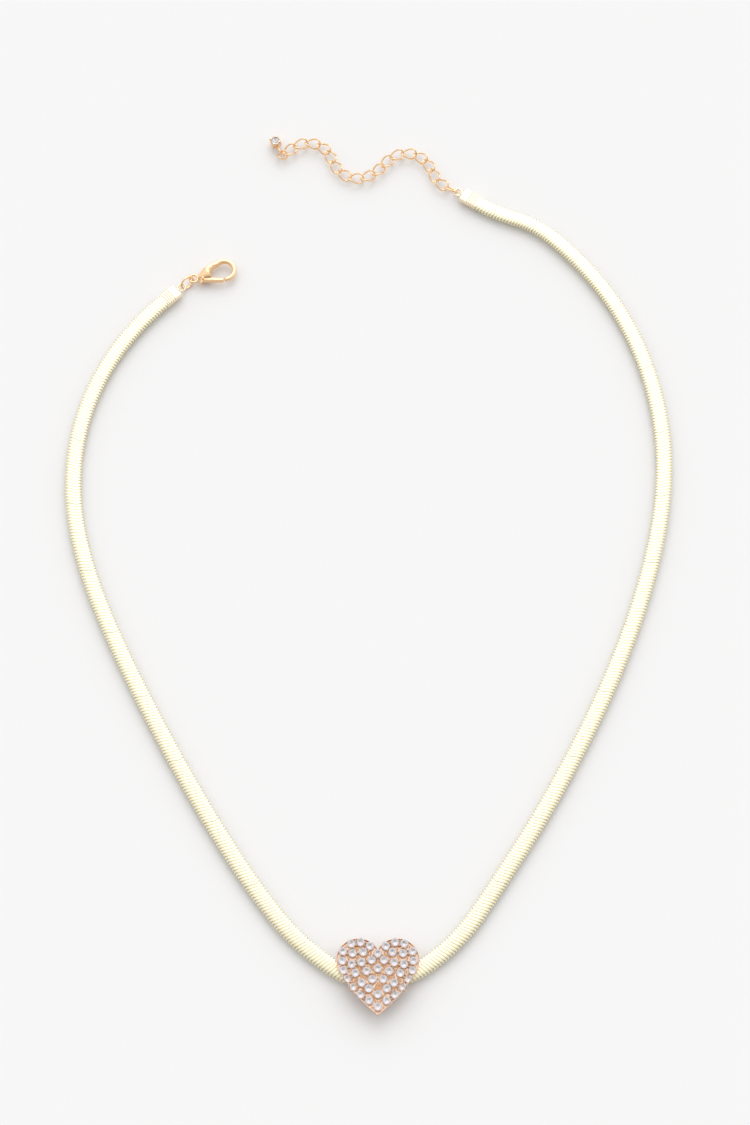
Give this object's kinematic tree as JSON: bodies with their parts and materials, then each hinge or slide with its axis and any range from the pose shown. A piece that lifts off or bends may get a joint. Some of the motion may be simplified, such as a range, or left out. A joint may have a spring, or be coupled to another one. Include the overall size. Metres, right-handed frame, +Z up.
{
  "type": "pendant necklace",
  "caption": "Flat snake chain with a stone-set heart sliding on it, a lobster clasp at one end and an extender chain with a stone drop at the other.",
  "frame": {"origin": "middle of the outline of the necklace as it lies, on the surface that it lies on", "axes": "+X across the necklace, to the right as seen from in front; +Y along it, from the heart towards the clasp; +Z up, out of its face"},
  "size_m": [0.1308, 0.2028, 0.004],
  "materials": {
    "chain_gold": "polished, pale yellow gold colour, ribbed",
    "rose_gold": "polished, rose gold colour",
    "cap_gold": "polished, pale gold colour",
    "warm_gold": "polished, warm orange gold colour",
    "spring_steel": "bright drawn wire",
    "crystal": "clear, faceted"
  },
  "bodies": {
    "bend": {"chain_middle": "chain_gold"},
    "pendant": {"heart_setting": "rose_gold", "heart_beads": "rose_gold", "heart_stones": "crystal", "bail_left": "rose_gold", "bail_right": "rose_gold"},
    "left_01": {"chain_left_01": "chain_gold"},
    "left_02": {"chain_left_02": "chain_gold"},
    "left_03": {"chain_left_03": "chain_gold"},
    "left_04": {"chain_left_04": "chain_gold"},
    "left_05": {"chain_left_05": "chain_gold"},
    "left_06": {"chain_left_06": "chain_gold"},
    "left_07": {"chain_left_07": "chain_gold"},
    "left_08": {"chain_left_08": "chain_gold"},
    "left_09": {"chain_left_09": "chain_gold"},
    "left_10": {"chain_left_10": "chain_gold"},
    "left_11": {"chain_left_11": "chain_gold", "end_cap_left": "cap_gold"},
    "right_01": {"chain_right_01": "chain_gold"},
    "right_02": {"chain_right_02": "chain_gold"},
    "right_03": {"chain_right_03": "chain_gold"},
    "right_04": {"chain_right_04": "chain_gold"},
    "right_05": {"chain_right_05": "chain_gold"},
    "right_06": {"chain_right_06": "chain_gold"},
    "right_07": {"chain_right_07": "chain_gold"},
    "right_08": {"chain_right_08": "chain_gold"},
    "right_09": {"chain_right_09": "chain_gold"},
    "right_10": {"chain_right_10": "chain_gold"},
    "right_11": {"chain_right_11": "chain_gold"},
    "right_12": {"chain_right_12": "chain_gold"},
    "right_13": {"chain_right_13": "chain_gold"},
    "right_14": {"chain_right_14": "chain_gold", "end_cap_right": "cap_gold"},
    "jump": {"jump_ring": "warm_gold"},
    "clasp": {"clasp_body": "warm_gold", "clasp_pin": "warm_gold", "clasp_spring": "spring_steel"},
    "lever": {"clasp_lever": "warm_gold"},
    "connector": {"connector_ring": "warm_gold"},
    "link_01": {"link_01": "warm_gold"},
    "link_02": {"link_02": "warm_gold"},
    "link_03": {"link_03": "warm_gold"},
    "link_04": {"link_04": "warm_gold"},
    "link_05": {"link_05": "warm_gold"},
    "link_06": {"link_06": "warm_gold"},
    "link_07": {"link_07": "warm_gold"},
    "link_08": {"link_08": "warm_gold"},
    "link_09": {"link_09": "warm_gold"},
    "link_10": {"link_10": "warm_gold"},
    "link_11": {"link_11": "warm_gold"},
    "link_12": {"link_12": "warm_gold"},
    "link_13": {"link_13": "warm_gold"},
    "link_14": {"link_14": "warm_gold"},
    "link_15": {"link_15": "warm_gold"},
    "link_16": {"link_16": "warm_gold"},
    "link_17": {"link_17": "warm_gold"},
    "drop_ring": {"drop_ring": "warm_gold"},
    "drop": {"drop_setting": "warm_gold", "drop_stone": "crystal"}
  },
  "joints": [
    {"name": "pendant_slide_on_bend", "type": "hinge", "parent": "bend", "child": "pendant", "pos_m": [0.00186, -0.07737, 0.0013], "axis": [0, 0, 1], "range_deg": [-12, 12]},
    {"name": "left_sway_01", "type": "hinge", "parent": "bend", "child": "left_01", "pos_m": [-0.00736, -0.09105, 0.0013], "axis": [0, 0, 1], "range_deg": [-12, 12]},
    {"name": "left_rise_02", "type": "hinge", "parent": "left_01", "child": "left_02", "pos_m": [-0.01872, -0.08045, 0.0013], "axis": [-0.788, -0.6157, 0], "range_deg": [-25, 25]},
    {"name": "left_sway_03", "type": "hinge", "parent": "left_02", "child": "left_03", "pos_m": [-0.02772, -0.06772, 0.0013], "axis": [0, 0, -1], "range_deg": [-12, 12]},
    {"name": "left_rise_04", "type": "hinge", "parent": "left_03", "child": "left_04", "pos_m": [-0.03582, -0.05438, 0.0013], "axis": [0.866, 0.5, 0], "range_deg": [-25, 25]},
    {"name": "left_sway_05", "type": "hinge", "parent": "left_04", "child": "left_05", "pos_m": [-0.04338, -0.04074, 0.0013], "axis": [0, 0, 1], "range_deg": [-12, 12]},
    {"name": "left_rise_06", "type": "hinge", "parent": "left_05", "child": "left_06", "pos_m": [-0.05046, -0.02684, 0.0013], "axis": [-0.8988, -0.4384, 0], "range_deg": [-25, 25]},
    {"name": "left_sway_07", "type": "hinge", "parent": "left_06", "child": "left_07", "pos_m": [-0.05687, -0.01262, 0.0013], "axis": [0, 0, -1], "range_deg": [-12, 12]},
    {"name": "left_rise_08", "type": "hinge", "parent": "left_07", "child": "left_08", "pos_m": [-0.06175, 0.00219, 0.0013], "axis": [0.9703, 0.2419, 0], "range_deg": [-25, 25]},
    {"name": "left_sway_09", "type": "hinge", "parent": "left_08", "child": "left_09", "pos_m": [-0.06365, 0.01763, 0.0013], "axis": [0, 0, 1], "range_deg": [-12, 12]},
    {"name": "left_rise_10", "type": "hinge", "parent": "left_09", "child": "left_10", "pos_m": [-0.06148, 0.03303, 0.0013], "axis": [-0.9613, 0.2756, 0], "range_deg": [-25, 25]},
    {"name": "left_sway_11", "type": "hinge", "parent": "left_10", "child": "left_11", "pos_m": [-0.05522, 0.04726, 0.0013], "axis": [0, 0, -1], "range_deg": [-12, 12]},
    {"name": "right_sway_01", "type": "hinge", "parent": "bend", "child": "right_01", "pos_m": [0.01109, -0.09105, 0.0013], "axis": [0, 0, -1], "range_deg": [-12, 12]},
    {"name": "right_rise_02", "type": "hinge", "parent": "right_01", "child": "right_02", "pos_m": [0.02205, -0.08008, 0.0013], "axis": [-0.829, 0.5592, 0], "range_deg": [-25, 25]},
    {"name": "right_sway_03", "type": "hinge", "parent": "right_02", "child": "right_03", "pos_m": [0.03061, -0.06704, 0.0013], "axis": [0, 0, 1], "range_deg": [-12, 12]},
    {"name": "right_rise_04", "type": "hinge", "parent": "right_03", "child": "right_04", "pos_m": [0.03858, -0.05363, 0.0013], "axis": [0.8746, -0.4848, 0], "range_deg": [-25, 25]},
    {"name": "right_sway_05", "type": "hinge", "parent": "right_04", "child": "right_05", "pos_m": [0.04584, -0.03983, 0.0013], "axis": [0, 0, -1], "range_deg": [-12, 12]},
    {"name": "right_rise_06", "type": "hinge", "parent": "right_05", "child": "right_06", "pos_m": [0.05231, -0.02564, 0.0013], "axis": [-0.9239, 0.3827, 0], "range_deg": [-25, 25]},
    {"name": "right_sway_07", "type": "hinge", "parent": "right_06", "child": "right_07", "pos_m": [0.05771, -0.011, 0.0013], "axis": [0, 0, 1], "range_deg": [-12, 12]},
    {"name": "right_rise_08", "type": "hinge", "parent": "right_07", "child": "right_08", "pos_m": [0.06175, 0.00406, 0.0013], "axis": [0.9781, -0.2079, 0], "range_deg": [-25, 25]},
    {"name": "right_sway_09", "type": "hinge", "parent": "right_08", "child": "right_09", "pos_m": [0.06365, 0.01952, 0.0013], "axis": [0, 0, -1], "range_deg": [-12, 12]},
    {"name": "right_rise_10", "type": "hinge", "parent": "right_09", "child": "right_10", "pos_m": [0.06256, 0.03506, 0.0013], "axis": [-0.9848, -0.1736, 0], "range_deg": [-25, 25]},
    {"name": "right_sway_11", "type": "hinge", "parent": "right_10", "child": "right_11", "pos_m": [0.05833, 0.05005, 0.0013], "axis": [0, 0, 1], "range_deg": [-12, 12]},
    {"name": "right_rise_12", "type": "hinge", "parent": "right_11", "child": "right_12", "pos_m": [0.05102, 0.06379, 0.0013], "axis": [0.8241, 0.5664, 0], "range_deg": [-25, 25]},
    {"name": "right_sway_13", "type": "hinge", "parent": "right_12", "child": "right_13", "pos_m": [0.04081, 0.07554, 0.0013], "axis": [0, 0, -1], "range_deg": [-12, 12]},
    {"name": "right_rise_14", "type": "hinge", "parent": "right_13", "child": "right_14", "pos_m": [0.03281, 0.08025, 0.0013], "axis": [-0.3173, -0.9483, 0], "range_deg": [-25, 25]},
    {"name": "jump_swing", "type": "hinge", "parent": "left_11", "child": "jump", "pos_m": [-0.04126, 0.06315, 0.0013], "axis": [0, 0, 1], "range_deg": [-15, 15]},
    {"name": "clasp_lift", "type": "hinge", "parent": "jump", "child": "clasp", "pos_m": [-0.03948, 0.06487, 0.0013], "axis": [-0.2924, 0.9563, 0], "range_deg": [-12, 12]},
    {"name": "lever_open", "type": "hinge", "parent": "clasp", "child": "lever", "pos_m": [-0.03688, 0.06477, 0.0013], "axis": [0, 0, 1], "range_deg": [0, 22], "stiffness_Nm_per_rad": 0.001, "springref_deg": -11.46, "deforming": ["clasp_spring"]},
    {"name": "connector_swing", "type": "hinge", "parent": "right_14", "child": "connector", "pos_m": [0.0196, 0.08731, 0.0013], "axis": [0, 0, 1], "range_deg": [-12, 8]},
    {"name": "link_01_lift", "type": "hinge", "parent": "connector", "child": "link_01", "pos_m": [0.0174, 0.0883, 0.0013], "axis": [-0.6428, -0.766, 0], "range_deg": [-20, 20]},
    {"name": "link_02_swing", "type": "hinge", "parent": "link_01", "child": "link_02", "pos_m": [0.0152, 0.09015, 0.0013], "axis": [0, 0, 1], "range_deg": [-10, 10]},
    {"name": "link_03_lift", "type": "hinge", "parent": "link_02", "child": "link_03", "pos_m": [0.01421, 0.09285, 0.0013], "axis": [0.866, 0.5, 0], "range_deg": [-20, 20]},
    {"name": "link_04_swing", "type": "hinge", "parent": "link_03", "child": "link_04", "pos_m": [0.01277, 0.09535, 0.0013], "axis": [0, 0, -1], "range_deg": [-10, 10]},
    {"name": "link_05_lift", "type": "hinge", "parent": "link_04", "child": "link_05", "pos_m": [0.01041, 0.097, 0.0013], "axis": [-0.0872, -0.9962, 0], "range_deg": [-20, 20]},
    {"name": "link_06_swing", "type": "hinge", "parent": "link_05", "child": "link_06", "pos_m": [0.00754, 0.09725, 0.0013], "axis": [0, 0, 1], "range_deg": [-10, 10]},
    {"name": "link_07_lift", "type": "hinge", "parent": "link_06", "child": "link_07", "pos_m": [0.00493, 0.09603, 0.0013], "axis": [-0.766, 0.6428, 0], "range_deg": [-20, 20]},
    {"name": "link_08_swing", "type": "hinge", "parent": "link_07", "child": "link_08", "pos_m": [0.00308, 0.09383, 0.0013], "axis": [0, 0, -1], "range_deg": [-10, 10]},
    {"name": "link_09_lift", "type": "hinge", "parent": "link_08", "child": "link_09", "pos_m": [0.00105, 0.09179, 0.0013], "axis": [0.4226, -0.9063, 0], "range_deg": [-20, 20]},
    {"name": "link_10_swing", "type": "hinge", "parent": "link_09", "child": "link_10", "pos_m": [-0.00156, 0.09057, 0.0013], "axis": [0, 0, 1], "range_deg": [-10, 10]},
    {"name": "link_11_lift", "type": "hinge", "parent": "link_10", "child": "link_11", "pos_m": [-0.00443, 0.09082, 0.0013], "axis": [0.5736, 0.8192, 0], "range_deg": [-20, 20]},
    {"name": "link_12_swing", "type": "hinge", "parent": "link_11", "child": "link_12", "pos_m": [-0.00679, 0.09248, 0.0013], "axis": [0, 0, -1], "range_deg": [-10, 10]},
    {"name": "link_13_lift", "type": "hinge", "parent": "link_12", "child": "link_13", "pos_m": [-0.00823, 0.09497, 0.0013], "axis": [-0.9397, -0.342, 0], "range_deg": [-20, 20]},
    {"name": "link_14_swing", "type": "hinge", "parent": "link_13", "child": "link_14", "pos_m": [-0.00922, 0.09768, 0.0013], "axis": [0, 0, 1], "range_deg": [-10, 10]},
    {"name": "link_15_lift", "type": "hinge", "parent": "link_14", "child": "link_15", "pos_m": [-0.01142, 0.09953, 0.0013], "axis": [0.1736, 0.9848, 0], "range_deg": [-20, 20]},
    {"name": "link_16_swing", "type": "hinge", "parent": "link_15", "child": "link_16", "pos_m": [-0.01426, 0.10003, 0.0013], "axis": [0, 0, -1], "range_deg": [-10, 10]},
    {"name": "link_17_lift", "type": "hinge", "parent": "link_16", "child": "link_17", "pos_m": [-0.01697, 0.09904, 0.0013], "axis": [0.7314, -0.682, 0], "range_deg": [-20, 20]},
    {"name": "drop_ring_swing", "type": "hinge", "parent": "link_17", "child": "drop_ring", "pos_m": [-0.01893, 0.09694, 0.0013], "axis": [0, 0, 1], "range_deg": [-8, 8]},
    {"name": "drop_lift", "type": "hinge", "parent": "drop_ring", "child": "drop", "pos_m": [-0.02001, 0.09738, 0.0013], "axis": [-0.9063, -0.4226, 0], "range_deg": [-15, 15]}
  ]
}
